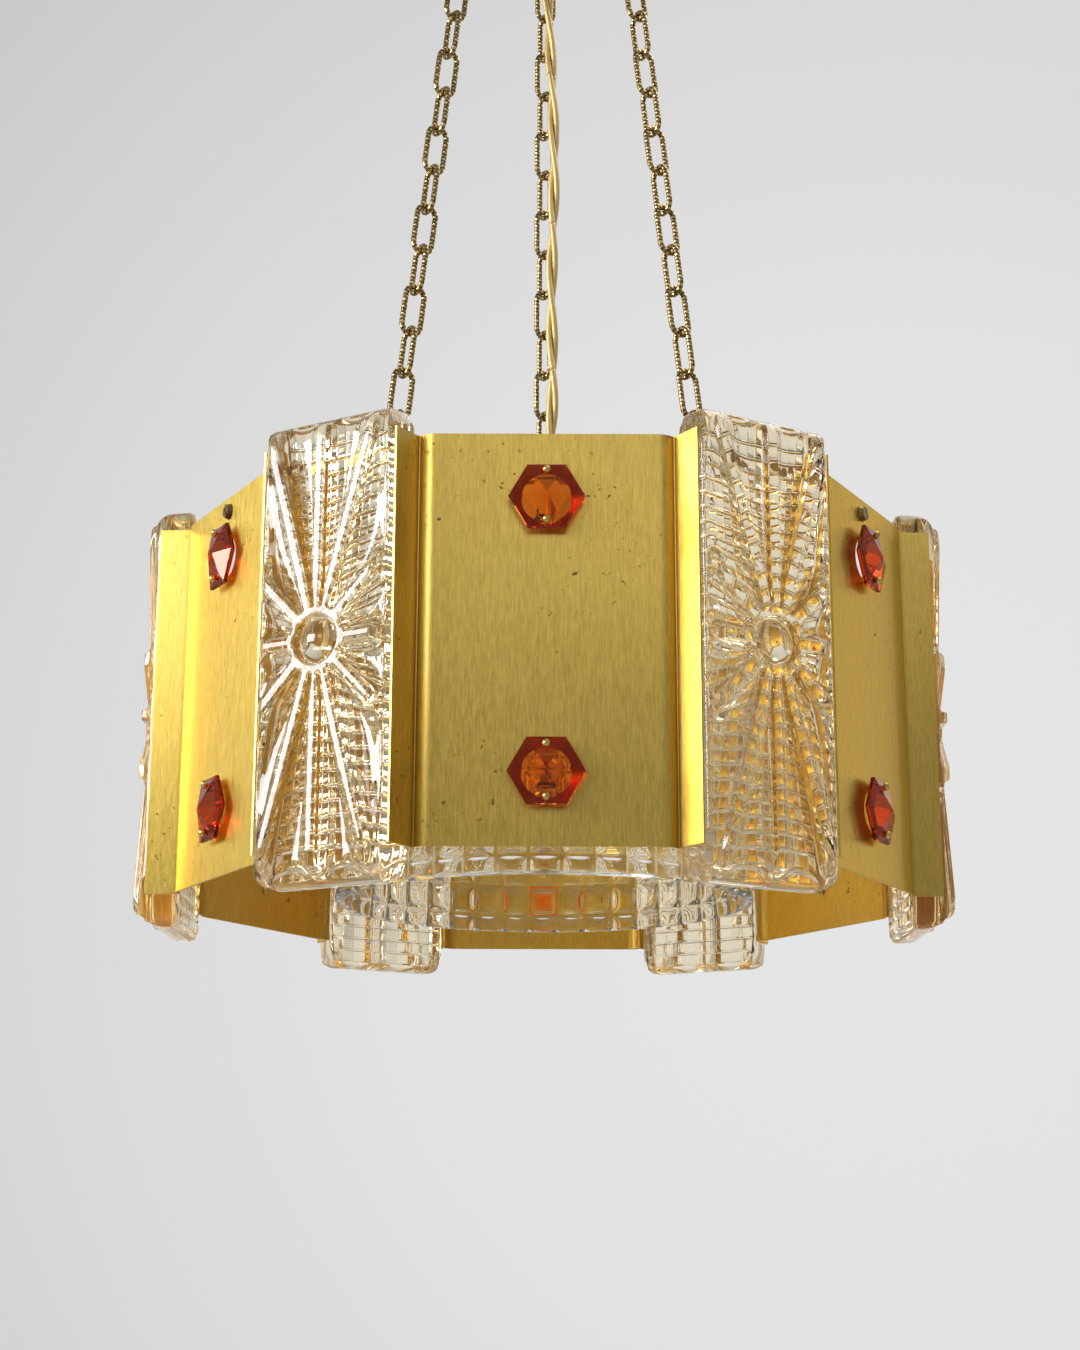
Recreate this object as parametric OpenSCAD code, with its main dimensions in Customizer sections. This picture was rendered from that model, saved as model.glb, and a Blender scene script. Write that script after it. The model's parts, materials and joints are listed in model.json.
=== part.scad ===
// Hanging lamp: a six-sided brass and pressed-glass drum on three chains.
// Origin at the centre of the ceiling face, +Z up, front panel facing -Y.

/* [Drum] */
// Height of each brass panel
panel_h = 175; // [165:1:185]
// Distance from the lamp's axis to the face of a panel
panel_a = 166.2; // [164:0.1:170]
// Thickness of the brass sheet
sheet_t = 1; // [0.8:0.1:1.2]
// How far the side flanges reach out past the panel's face
flange_out = 9.7; // [8:0.1:11]

/* [Glass slabs] */
// Height of each slab
slab_h = 200; // [190:1:206]
// How far a slab hangs below the panels
slab_below = 14; // [10:1:16]
// Thickness from the grid face to the star face
slab_t = 21.8; // [18:0.1:24]

/* [Crystals] */
// Corner radius of a hexagonal crystal
crystal_r = 16; // [14:0.5:17]
// Height of the lower crystals above the panel's lower edge
crystal_low = 30; // [28:1:34]
// Height of the upper crystals above the panel's lower edge
crystal_high = 146; // [142:1:147]

/* [Inner shade] */
// Outer radius over the relief
shade_r = 99; // [90:1:105]
// Height of the shade
shade_h = 146; // [144:1:148]

/* [Chains] */
// Number of links in each chain
links = 15; // [11:2:17]
// Wire diameter of a link
link_d = 2.8; // [2.4:0.1:3]
// Outer length of a link
link_l = 28.2; // [26:0.1:30]
// Outer width of a link
link_w = 13; // [12:0.1:14]
// Lean of each chain towards the axis, in degrees
chain_tilt = 7; // [5:0.5:8]
// Direction that the first link of each chain faces, in degrees
link_yaw = -57; // [-75:1:-45]

/* [Canopy] */
// Radius of the ceiling canopy
canopy_r = 60; // [60:1:66]
// Height of the ceiling canopy
canopy_h = 44; // [40:1:50]

/* [Hidden] */
$fn = 48;
SIDES = ["front", "front_right", "rear_right", "rear", "rear_left", "front_left"];
CORNERS = ["front_right", "right", "rear_right", "rear_left", "left", "front_left"];
CHAINS = ["left", "right", "rear"];
CHAIN_AZ = [-60, 60, 180];
SCREWED_AZ = CHAIN_AZ;

brass = "#c8a548";
old_brass = "#8f6f30";
pale_glass = "#ead9bd";
clear_glass = "#dfe3dd";
amber = "#b8380a";

// Chain geometry: wire centres of hook, links and eye lie on one straight line.
play = 0.1;
hook_play = 0.25;
eye_play = 0.8;
ring_d = 3;
hook_ring_r = 6;
eye_ring_r = 5;
hook_stem = 6.3;
link_run = link_l - link_d;
link_pitch = link_run - link_d - play;
end_gap = (ring_d + link_d) / 2 + hook_play;
chain_run = links * link_run - (links - 1) * (link_d + play) - ring_d - link_d - hook_play - eye_play;
hook_z = -(canopy_h + hook_stem + 2 * hook_ring_r);
eye_z = hook_z - chain_run * cos(chain_tilt);
eye_r = 87;
hook_r = eye_r - chain_run * sin(chain_tilt);

// Heights in the drum
panel_top = eye_z - 14;
panel_z = panel_top - panel_h;
arm_t = 2.5;
arm_w = 14;
arm_z = panel_top - arm_t;
screw_z = panel_top - 7;
ring_h = 4;
ring_t = 2;
pad_h = 9;
pad_w = 22;
ring_v = panel_a - sheet_t - 0.05;
ring_half = 38;
cord_low_z = eye_z - ring_d / 2;
cord_high_z = hook_z + ring_d / 2;

// Panel outline: flat face, channel, then a flange out to the slab's side
channel_in = 49.9;
channel_out = 53.2;
channel_deep = 6;
corner_r = 2;
fold_r = 1.2;
fold_in = 2.4;
flange_tip = [62.2, flange_out];

// Slab outline in its own frame
slab_v = 168.2;
slab_half_back = 34.2;
slab_half_front = 32.7;
slab_round = 6;
slab_corner = 8;
star_boss_r = 9.5;

// Crystals and pins
light_hole_r = 9;
pin_offset = 10.8;
pin_r = 0.6;
pin_play = 0.2;
crystal_gap = 1;
crystal_bevel = 0.8;
crystal_girdle = 3;
crystal_point = 5;

// Cord
cord_r = 3.3;
cord_sides = 10;
bore_r = 4.6;
cord_in = 3;
CORD_ROUTE = [
    [0, 0, cord_high_z + cord_in], [0, 0, cord_high_z], [0.2, 0, cord_high_z - 14],
    [1, -0.2, cord_high_z - 40], [2.6, -0.6, cord_high_z - 75], [4, -0.8, cord_high_z - 110],
    [4.4, -0.4, cord_high_z - 145], [3.6, 0.6, cord_high_z - 180], [3.2, 1.4, cord_high_z - 215],
    [3.8, 1.4, cord_high_z - 245], [3.6, 0.8, cord_high_z - 270], [2, 0.2, cord_high_z - 295],
    [0.6, 0, cord_high_z - 316], [0, 0, cord_low_z], [0, 0, cord_low_z - cord_in]
];

function facing(az) = [0, 0, az - 90];
function unit(v) = v / norm(v);
function right_of(v) = [v[1], -v[0]];
function turned(p, az) = [
    p[0] * cos(az) + p[1] * sin(az), p[0] * sin(az) - p[1] * cos(az)
];

// Moves an open path sideways by t, with mitred corners.
function side_path(p, t) = [
    for (i = [0:len(p) - 1])
        let (a = unit(p[max(i, 1)] - p[max(i, 1) - 1]),
             b = unit(p[min(i + 1, len(p) - 1)] - p[min(i, len(p) - 2)]),
             m = unit(right_of(a) + right_of(b)))
            p[i] + m * t / (m * right_of(a))
];

// Places children so that +X is a panel's outward direction and Y runs along it.
module at_side(az, out = 0, z = 0) {
    rotate(facing(az)) translate([out, 0, z]) children();
}

function arc(c, r, from, to, step) = [for (a = [from:step:to]) c + r * [cos(a), sin(a)]];

function panel_half(v) =
    let (floor_r = (channel_out - channel_in) / 2)
        concat(
            arc([channel_in - corner_r, v - corner_r], corner_r, 90, 0, -15),
            arc([channel_in + floor_r, v - channel_deep + floor_r], floor_r, 180, 360, 20),
            arc([channel_out + fold_r, v - fold_in], fold_r, 180, 145, -17.5),
            [flange_tip + [0, v]]
        );

module panel_plan() {
    right = panel_half(panel_a);
    face = concat([for (i = [len(right) - 1:-1:0]) [-right[i][0], right[i][1]]], right);
    back = side_path(face, sheet_t);
    polygon(concat(face, [for (i = [len(back) - 1:-1:0]) back[i]]));
}

// A panel: folded sheet with light holes, pin holes and, on three, a screw hole.
module panel(side) {
    az = side * 60;
    color(brass) difference() {
        translate([0, 0, panel_z]) rotate([0, 0, az - 180]) linear_extrude(panel_h) panel_plan();
        for (h = [crystal_low, crystal_high]) {
            at_side(az, panel_a - 5, panel_z + h) rotate([0, 90, 0]) cylinder(r = light_hole_r, h = 10);
            for (s = [-1, 1])
                at_side(az, panel_a - 5, panel_z + h + s * pin_offset)
                    rotate([0, 90, 0]) cylinder(r = pin_r + pin_play, h = 10);
        }
        if (side % 2 == 1)
            at_side(az, panel_a - 5, screw_z) rotate([0, 90, 0]) cylinder(r = 2.2, h = 10);
    }
}

module rounded_rect(w, h, r) {
    translate([r, 0]) square([w - 2 * r, h]);
    translate([0, r]) square([w, h - 2 * r]);
    for (x = [r, w - r], y = [r, h - r]) translate([x, y]) circle(r);
}

// Slab seen from above: wide grid face, drafted sides, rounded star face.
module slab_plan() {
    front = slab_v + slab_t;
    polygon(concat(
        [[slab_v, -slab_half_back]],
        [for (a = [-90:15:0])
            [front - slab_round + slab_round * cos(a), -slab_half_front + slab_round + slab_round * sin(a)]],
        [for (a = [0:15:90])
            [front - slab_round + slab_round * cos(a), slab_half_front - slab_round + slab_round * sin(a)]],
        [[slab_v, slab_half_back]]
    ));
}

// A pressed glass slab with a domed boss in the middle of its star face.
module slab(corner) {
    az = 30 + corner * 60;
    low = panel_z - slab_below;
    color(pale_glass, 0.6) rotate(facing(az)) {
        intersection() {
            translate([0, 0, low]) linear_extrude(slab_h) slab_plan();
            translate([slab_v - 1, -slab_half_back - 1, low]) rotate([90, 0, 90])
                linear_extrude(slab_t + 2) rounded_rect(2 * slab_half_back + 2, slab_h, slab_corner);
            translate([slab_v, 40, low]) rotate([90, 0, 0]) linear_extrude(80)
                rounded_rect(slab_t, slab_h, slab_round);
        }
        translate([slab_v + slab_t - 3, 0, low + slab_h / 2 + 1.5]) rotate([0, 90, 0])
            cylinder(r1 = star_boss_r, r2 = star_boss_r - 2, h = 4.6);
    }
}

// A hexagonal crystal with a pointed face and two pin holes.
module crystal(side, h) {
    base = panel_a + crystal_gap;
    color(amber) at_side(side * 60, base, panel_z + h) difference() {
        rotate([0, 90, 0]) rotate([0, 0, 90]) {
            cylinder(r1 = crystal_r - 1, r2 = crystal_r, h = crystal_bevel, $fn = 6);
            translate([0, 0, crystal_bevel]) cylinder(r = crystal_r, h = crystal_girdle, $fn = 6);
            translate([0, 0, crystal_bevel + crystal_girdle])
                cylinder(r1 = crystal_r, r2 = 0, h = crystal_point, $fn = 6);
        }
        for (s = [-1, 1])
            translate([-1, 0, s * pin_offset]) rotate([0, 90, 0]) cylinder(r = pin_r + pin_play, h = 12);
    }
}

// Headed brass pins that hold the crystals, clinched behind the sheet.
module crystal_pins() {
    seat = crystal_bevel + crystal_girdle
        + crystal_point * (1 - pin_offset / (crystal_r * cos(30))) + 0.1;
    color(brass) for (side = [0:5], h = [crystal_low, crystal_high], s = [-1, 1])
        at_side(side * 60, panel_a, panel_z + h + s * pin_offset) rotate([0, 90, 0]) {
            translate([0, 0, -sheet_t - 1]) cylinder(r = pin_r, h = sheet_t + crystal_gap + seat + 1.6);
            translate([0, 0, -sheet_t - 1.2]) cylinder(r = 1.7, h = 1.1);
            translate([0, 0, crystal_gap + seat + 0.6]) cylinder(r1 = 1.6, r2 = 1, h = 1);
        }
}

// Slotted screws through panel, ring and spider.
module panel_screws() {
    color(old_brass) for (az = SCREWED_AZ) at_side(az, panel_a, screw_z) rotate([0, 90, 0]) {
        difference() {
            translate([0, 0, 0.1]) cylinder(r1 = 3.7, r2 = 3, h = 2.2);
            rotate([0, 0, 35]) translate([-5, -0.4, 1.5]) cube([10, 0.8, 2]);
        }
        translate([0, 0, -9]) cylinder(r = 1.95, h = 9.2);
    }
}

// Inner frame ring: a flat bar against the panels and across the slabs, wider at its screws.
function ring_outline(inset) = [
    for (side = [0:5], s = [-1, 1])
        turned([s * (ring_half - inset * tan(15)), ring_v - inset], side * 60)
];

module frame_ring() {
    color(brass) difference() {
        union() {
            translate([0, 0, screw_z - ring_h / 2]) linear_extrude(ring_h) difference() {
                polygon(ring_outline(0));
                polygon(ring_outline(ring_t));
            }
            for (az = SCREWED_AZ)
                at_side(az) translate([ring_v - ring_t, -pad_w / 2, screw_z - pad_h / 2])
                    cube([ring_t, pad_w, pad_h]);
        }
        for (az = SCREWED_AZ)
            at_side(az, panel_a - 8, screw_z) rotate([0, 90, 0]) cylinder(r = 2.2, h = 10);
    }
}

// Three-armed spider with a tapped tab at each arm's end.
module spider() {
    reach = ring_v - ring_t - 0.05;
    color(brass) difference() {
        union() {
            translate([0, 0, arm_z]) cylinder(r = 24, h = arm_t);
            for (az = SCREWED_AZ) at_side(az) {
                translate([0, -arm_w / 2, arm_z]) cube([reach, arm_w, arm_t]);
                translate([reach - arm_t, -arm_w / 2, arm_z - 11]) cube([arm_t, arm_w, 11 + arm_t]);
            }
        }
        translate([0, 0, arm_z - 1]) cylinder(r = 5.1, h = arm_t + 2);
        for (az = SCREWED_AZ) {
            at_side(az, eye_r, arm_z - 1) cylinder(r = 2.1, h = arm_t + 2);
            at_side(az, reach - 5, screw_z) rotate([0, 90, 0]) cylinder(r = 2, h = 8);
        }
    }
}

module wire_ring(r, sweep = 360) {
    rotate([90, 0, 0]) rotate_extrude(angle = sweep) translate([r, 0]) circle(d = ring_d);
}

// Eye bolts that stand on the spider's arms.
module chain_eyes() {
    color(brass) for (az = CHAIN_AZ) at_side(az, eye_r) rotate([0, 0, link_yaw - az + 90]) {
        translate([0, 0, eye_z - eye_ring_r]) wire_ring(eye_ring_r);
        translate([0, 0, arm_z - 5]) cylinder(r = 2, h = eye_z - 2 * eye_ring_r - arm_z + 5);
    }
}

module hex_nut(flats, bore, h) {
    difference() {
        cylinder(r = flats / sqrt(3), h = h, $fn = 6);
        translate([0, 0, -1]) cylinder(r = bore, h = h + 2);
    }
}

module eye_nuts() {
    color(brass) for (az = CHAIN_AZ) at_side(az, eye_r, arm_z - 3.3) hex_nut(7, 2.05, 3.2);
}

// Open hooks under the canopy, each with a stem through its plate.
module canopy_hooks() {
    color(brass) for (az = CHAIN_AZ) at_side(az, hook_r) rotate([0, 0, link_yaw - az + 90]) {
        translate([0, 0, hook_z + hook_ring_r]) rotate([0, -90, 0]) wire_ring(hook_ring_r, 270);
        translate([0, 0, hook_z + 2 * hook_ring_r - 0.5]) cylinder(r = 2, h = hook_stem + 7);
    }
}

module hook_nuts() {
    color(brass) for (az = CHAIN_AZ) at_side(az, hook_r, 1.3 - canopy_h) hex_nut(7, 2.05, 3.2);
}

// One oval link in the XZ plane, centred.
module link() {
    bend = (link_w - link_d) / 2;
    half = link_l / 2 - link_w / 2;
    rotate([90, 0, 0]) {
        for (s = [0, 180]) rotate([0, 0, s]) {
            translate([0, half, 0]) rotate_extrude(angle = 180) translate([bend, 0]) circle(d = link_d);
            translate([bend, half, 0]) rotate([90, 0, 0]) cylinder(d = link_d, h = 2 * half);
        }
    }
}

// Links from first to last of one chain, each turned a quarter from the one above.
module chain(az, first, last) {
    color(old_brass) at_side(az, hook_r, hook_z) rotate([0, -chain_tilt, 0])
        rotate([0, 0, link_yaw - az + 90])
            for (i = [first:last])
                translate([0, 0, end_gap - link_run / 2 - i * link_pitch])
                    rotate([0, 0, i % 2 * 90 + 90]) link();
}

// Smooth route through the cord's own points, then a tube swept along it.
function spline(p, i, t) =
    let (a = p[max(i - 1, 0)], b = p[i], c = p[i + 1], d = p[min(i + 2, len(p) - 1)])
        0.5 * (2 * b + (c - a) * t + (2 * a - 5 * b + 4 * c - d) * t * t
            + (3 * b - a - 3 * c + d) * t * t * t);

module lamp_cord() {
    steps = 2;
    path = concat(
        [for (i = [0:len(CORD_ROUTE) - 2], k = [0:steps - 1]) spline(CORD_ROUTE, i, k / steps)],
        [CORD_ROUTE[len(CORD_ROUTE) - 1]]
    );
    rings = len(path);
    points = [
        for (q = path, s = [0:cord_sides - 1])
            q + cord_r * [cos(s * 360 / cord_sides), sin(s * 360 / cord_sides), 0]
    ];
    sides = [
        for (k = [0:rings - 2], s = [0:cord_sides - 1])
            let (n = (s + 1) % cord_sides)
                [k * cord_sides + s, k * cord_sides + n, (k + 1) * cord_sides + n, (k + 1) * cord_sides + s]
    ];
    top = [for (s = [cord_sides - 1:-1:0]) s];
    bottom = [for (s = [0:cord_sides - 1]) (rings - 1) * cord_sides + s];
    color("#c9a860") polyhedron(points = points, faces = concat([top], sides, [bottom]));
}

// Ceiling bar with two screw holes and turned-down ears.
module ceiling_bracket() {
    ear_x = canopy_r - 2.6;
    color("silver") difference() {
        union() {
            translate([-ear_x, -10, -arm_t]) cube([2 * ear_x, 20, arm_t]);
            for (s = [0, 180]) rotate([0, 0, s])
                translate([ear_x - arm_t, -10, -14]) cube([arm_t, 20, 14]);
        }
        for (x = [-30, 30]) translate([x, 0, -5]) cylinder(r = 2.5, h = 10);
        for (s = [0, 180]) rotate([0, 0, s])
            translate([ear_x - 6, 0, -9]) rotate([0, 90, 0]) cylinder(r = 1.55, h = 10);
        translate([0, 6, -5]) cylinder(r = 1.3, h = 10);
    }
}

module canopy_cup() {
    wall = 1.2;
    lip = 4;
    rim_z = -0.5;
    centre = [canopy_r - lip, lip - canopy_h];
    outer = concat([[0, -canopy_h]], arc(centre, lip, -90, 0, 15), [[canopy_r, rim_z]]);
    inner = concat([[canopy_r - wall, rim_z]], arc(centre, lip - wall, 0, -90, -15), [[0, wall - canopy_h]]);
    color(brass) difference() {
        rotate_extrude() polygon(concat(outer, inner));
        translate([0, 0, -canopy_h - 1]) cylinder(r = 5.1, h = 4);
        for (az = CHAIN_AZ) at_side(az, hook_r, -canopy_h - 1) cylinder(r = 2.1, h = 4);
        for (s = [0, 180]) rotate([0, 0, s])
            translate([canopy_r - 4, 0, -9]) rotate([0, 90, 0]) cylinder(r = 1.7, h = 8);
    }
}

module canopy_screws() {
    color(brass) for (s = [0, 180]) rotate([0, 0, s]) translate([0, 0, -9]) rotate([0, 90, 0]) {
        translate([0, 0, canopy_r - 7]) cylinder(r = 1.5, h = 8);
        translate([0, 0, canopy_r + 0.1]) cylinder(r = 4, h = 5);
    }
}

// Gland under the canopy: the cord's upper end stands in its bore.
module cord_gland() {
    drop = -cord_high_z - canopy_h;
    color(brass) difference() {
        union() {
            translate([0, 0, -canopy_h - drop]) cylinder(r1 = 6.5, r2 = 9, h = drop - 0.1);
            translate([0, 0, -canopy_h - 1]) cylinder(r = 5, h = 8);
        }
        translate([0, 0, cord_high_z - 1]) cylinder(r = bore_r, h = 9);
        translate([0, 0, cord_high_z]) cylinder(r = 3, h = 40);
    }
}

module gland_nut() {
    color(brass) translate([0, 0, 1.3 - canopy_h]) hex_nut(16, 5.05, 3.5);
}

module terminal_block() {
    color("white") difference() {
        translate([-12, 12, -26]) cube([24, 17, 14]);
        for (x = [-6, 6]) {
            translate([x, 20.5, -22]) cylinder(r = 2, h = 12);
            translate([x, 0, -19]) rotate([-90, 0, 0]) cylinder(r = 1.6, h = 40);
        }
    }
}

module terminal_screws() {
    color("silver") for (x = [-6, 6]) translate([x, 20.5, -17]) cylinder(r = 1.8, h = 3);
}

// Threaded tube, nut and cord grip at the spider's hub.
module nipple() {
    color(brass) translate([0, 0, arm_z - 12]) difference() {
        cylinder(r = 5, h = arm_t + 18.5);
        translate([0, 0, -1]) cylinder(r = 3.4, h = arm_t + 21);
    }
}

module hub_nut() {
    color(brass) translate([0, 0, panel_top + 0.1]) hex_nut(16, 5.05, 2.7);
}

module cord_grip() {
    foot = panel_top + 2.9;
    color(brass) difference() {
        translate([0, 0, foot]) cylinder(r1 = 8, r2 = 6.5, h = cord_low_z - foot);
        translate([0, 0, foot - 1]) cylinder(r = 5.1, h = panel_top + 6.6 - foot + 1);
        translate([0, 0, foot]) cylinder(r = 3, h = 8);
        translate([0, 0, panel_top + 7]) cylinder(r = bore_r, h = 12);
    }
}

// Lampholder: cap, threaded shell and insulator, with a ring that clamps the shade.
shade_top = panel_z + shade_h;
module holder_cap() {
    color("white") difference() {
        union() {
            translate([0, 0, shade_top + 4]) cylinder(r = 20, h = arm_z - shade_top - 4.1);
            translate([0, 0, shade_top + 0.1]) cylinder(r = 25, h = 4);
        }
        translate([0, 0, shade_top - 1]) cylinder(r = 17, h = arm_z - shade_top - 4);
        translate([0, 0, shade_top]) cylinder(r = 5.1, h = 50);
    }
}

module holder_shell() {
    color("white") translate([0, 0, shade_top - 21]) difference() {
        cylinder(r = 16.8, h = 29);
        translate([0, 0, -1]) cylinder(r = 14.2, h = 31);
    }
}

module holder_insulator() {
    color("white") difference() {
        translate([0, 0, shade_top + 8.1]) cylinder(r = 16.5, h = 6);
        for (s = [-1, 1]) translate([s * 10, 0, shade_top]) cylinder(r = 1.5, h = 20);
    }
}

module shade_ring() {
    color("white") translate([0, 0, shade_top - 11.5]) difference() {
        cylinder(r = 26, h = 5);
        translate([0, 0, -1]) cylinder(r = 16.9, h = 7);
    }
}

// Inner shade: a glass drum, open below, hung by the hole in its top.
module glass_shade() {
    wall = 7;
    color(clear_glass, 0.5) translate([0, 0, panel_z]) difference() {
        cylinder(r = shade_r, h = shade_h);
        translate([0, 0, -1]) cylinder(r = shade_r - wall, h = shade_h - 5.4);
        cylinder(r = 17.5, h = shade_h + 2);
    }
}

// Screw-in bulb
bulb_top = shade_top + 8;
module bulb_cap() {
    color("silver") {
        translate([0, 0, bulb_top - 26]) cylinder(r = 13.1, h = 23);
        translate([0, 0, bulb_top - 3]) cylinder(r1 = 11, r2 = 5, h = 2.9);
    }
}

module bulb_form(grow) {
    translate([0, 0, bulb_top - 74]) sphere(r = 29 + grow);
    translate([0, 0, bulb_top - 56]) cylinder(r1 = 22.7 + grow, r2 = 12.4 + grow, h = 29.5);
}

module bulb_glass() {
    color("#f4efe2", 0.5) difference() {
        bulb_form(0);
        bulb_form(-1);
    }
}

module bulb_stem() {
    color("#f0a030") translate([0, 0, bulb_top - 80]) {
        cylinder(r = 2, h = 52);
        for (a = [0:90:270]) rotate([0, 0, a]) translate([7, 0, 4]) rotate([0, -8, 0])
            cylinder(r = 1, h = 36);
        translate([0, 0, 3]) cylinder(r = 8.5, h = 1.6);
        translate([0, 0, 38]) cylinder(r = 4, h = 2);
    }
}

ceiling_bracket();
canopy_cup();
canopy_screws();
canopy_hooks();
hook_nuts();
cord_gland();
gland_nut();
terminal_block();
terminal_screws();
for (i = [0:2]) {
    chain(CHAIN_AZ[i], 0, 0);
    chain(CHAIN_AZ[i], 1, links - 2);
    chain(CHAIN_AZ[i], links - 1, links - 1);
}
lamp_cord();
for (i = [0:5]) {
    panel(i);
    slab(i);
    crystal(i, crystal_low);
    crystal(i, crystal_high);
}
crystal_pins();
panel_screws();
frame_ring();
spider();
chain_eyes();
eye_nuts();
nipple();
hub_nut();
cord_grip();
holder_cap();
holder_shell();
holder_insulator();
shade_ring();
glass_shade();
bulb_cap();
bulb_glass();
bulb_stem();
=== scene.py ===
import json
import math

import bmesh
import bpy
import numpy as np
from mathutils import Matrix, Vector


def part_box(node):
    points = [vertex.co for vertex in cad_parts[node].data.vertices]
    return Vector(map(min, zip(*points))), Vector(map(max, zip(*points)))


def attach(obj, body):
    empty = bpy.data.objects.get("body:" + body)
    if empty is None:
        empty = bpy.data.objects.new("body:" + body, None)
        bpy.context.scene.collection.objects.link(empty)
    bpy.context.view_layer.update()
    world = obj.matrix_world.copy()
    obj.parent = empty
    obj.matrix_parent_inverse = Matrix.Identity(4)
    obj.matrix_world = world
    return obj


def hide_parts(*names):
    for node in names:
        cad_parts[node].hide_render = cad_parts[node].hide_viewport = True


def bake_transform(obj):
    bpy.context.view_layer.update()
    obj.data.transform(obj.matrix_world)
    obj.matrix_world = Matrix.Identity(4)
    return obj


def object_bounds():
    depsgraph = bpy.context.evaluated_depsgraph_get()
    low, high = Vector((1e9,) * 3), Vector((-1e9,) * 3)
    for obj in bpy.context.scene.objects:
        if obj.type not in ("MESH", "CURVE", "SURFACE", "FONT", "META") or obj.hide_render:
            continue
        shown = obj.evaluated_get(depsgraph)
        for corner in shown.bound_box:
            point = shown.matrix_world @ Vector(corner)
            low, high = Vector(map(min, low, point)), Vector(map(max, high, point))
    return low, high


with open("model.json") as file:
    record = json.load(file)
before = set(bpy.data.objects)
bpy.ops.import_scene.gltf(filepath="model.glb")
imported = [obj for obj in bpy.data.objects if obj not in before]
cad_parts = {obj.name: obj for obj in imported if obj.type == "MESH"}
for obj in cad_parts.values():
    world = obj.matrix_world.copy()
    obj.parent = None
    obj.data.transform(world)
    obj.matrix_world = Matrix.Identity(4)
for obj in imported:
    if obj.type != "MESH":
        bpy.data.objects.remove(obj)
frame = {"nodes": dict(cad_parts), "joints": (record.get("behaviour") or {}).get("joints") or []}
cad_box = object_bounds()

# Lengths are in millimetres in the shape functions, and MM turns them into metres.
MM = 0.001
SIDES = ["front", "front_right", "rear_right", "rear", "rear_left", "front_left"]
CORNERS = ["front_right", "right", "rear_right", "rear_left", "left", "front_left"]
CHAINS = {"left": -60, "right": 60, "rear": 180}


def low(node, axis):
    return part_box(node)[0][axis] / MM


def high(node, axis):
    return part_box(node)[1][axis] / MM


PANEL_LOW = low("panel_front", 2)
PANEL_TOP = high("panel_front", 2)
SLAB_LOW = low("slab_right", 2)
SLAB_TOP = high("slab_right", 2)
SLAB_BACK = low("slab_right", 0)
SLAB_BOSS = high("slab_right", 0)
SLAB_HALF = high("slab_right", 1)
PANEL_A = SLAB_BACK - 2.0
SHADE_LOW = low("glass_shade", 2)
SHADE_TOP = high("glass_shade", 2)
SHADE_R = high("glass_shade", 0)
CANOPY_LOW = low("canopy_cup", 2)
CANOPY_R = high("canopy_cup", 0)


# Camera: a little below the drum and straight in front of one of its panels, looking up.

LENS = 57.7333
CAMERA_AT = Vector((-4.6, -1021, PANEL_LOW - 147))
CAMERA_TURN = (104.28, -0.14, -0.17)


def make_camera():
    data = bpy.data.cameras.new("camera")
    data.sensor_width = 36
    data.lens = LENS
    camera = bpy.data.objects.new("camera", data)
    bpy.context.collection.objects.link(camera)
    camera.location = CAMERA_AT * MM
    camera.rotation_euler = [math.radians(a) for a in CAMERA_TURN]
    bpy.context.scene.camera = camera


make_camera()


# Mesh helpers

def turn(az):
    """Turns +X to the direction az degrees round from the front."""
    return Matrix.Rotation(math.radians(az - 90), 4, "Z")


def circle(sides, r):
    """Points of a circle, counter-clockwise from its first axis."""
    angle = np.arange(sides) * 2 * math.pi / sides
    return [(r * math.cos(a), r * math.sin(a)) for a in angle]


def caps(first, last, sides):
    """Faces that close a tube at its first and at its last ring."""
    return [tuple(range(first + sides - 1, first - 1, -1)), tuple(range(last, last + sides))]


def add_mesh(name, points, faces, material, matrix=None, smooth=True):
    """Makes a piece from points in millimetres."""
    mesh = bpy.data.meshes.new(name)
    mesh.from_pydata([tuple(p) for p in np.asarray(points, float) * MM], [], faces)
    mesh.polygons.foreach_set("use_smooth", [smooth] * len(mesh.polygons))
    mesh.materials.append(material)
    mesh.update()
    piece = bpy.data.objects.new(name, mesh)
    bpy.context.collection.objects.link(piece)
    if matrix is not None:
        piece.matrix_world = matrix
    return piece


def place(piece, body, slot, *nodes):
    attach(piece, body)
    if nodes:
        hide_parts(*nodes)
    return piece


def grid_faces(rows, columns, wrap=True, offset=0):
    """Quads over rows of points, each row a loop if wrap."""
    faces = []
    last = columns if wrap else columns - 1
    for i in range(rows - 1):
        for k in range(last):
            n = (k + 1) % columns
            a = offset + i * columns
            b = a + columns
            faces.append((a + k, a + n, b + n, b + k))
    return faces


def lathe(name, profile, material, sides):
    """Turns a profile of (radius, z) points about Z; an end on the axis is closed with a fan."""
    points = []
    rings = []
    for r, z in profile:
        if r < 1e-6:
            rings.append([len(points)])
            points.append((0, 0, z))
        else:
            rings.append(list(range(len(points), len(points) + sides)))
            points += [(x, y, z) for x, y in circle(sides, r)]
    faces = []
    for a, b in zip(rings, rings[1:]):
        for k in range(sides):
            n = (k + 1) % sides
            corners = [a[k % len(a)], a[n % len(a)], b[n % len(b)], b[k % len(b)]]
            faces.append(tuple(dict.fromkeys(corners)))
    return add_mesh(name, points, faces, material)


def arc(cx, cz, r, start, end, steps):
    """Points of an arc, from start to end in degrees."""
    return [
        (cx + r * math.cos(math.radians(a)), cz + r * math.sin(math.radians(a)))
        for a in np.linspace(start, end, steps + 1)
    ]


def join(pieces, name):
    """Joins pieces into the first one."""
    bpy.context.view_layer.update()
    with bpy.context.temp_override(
        active_object=pieces[0], selected_editable_objects=pieces, object=pieces[0]
    ):
        bpy.ops.object.join()
    pieces[0].name = name
    return pieces[0]


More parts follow.
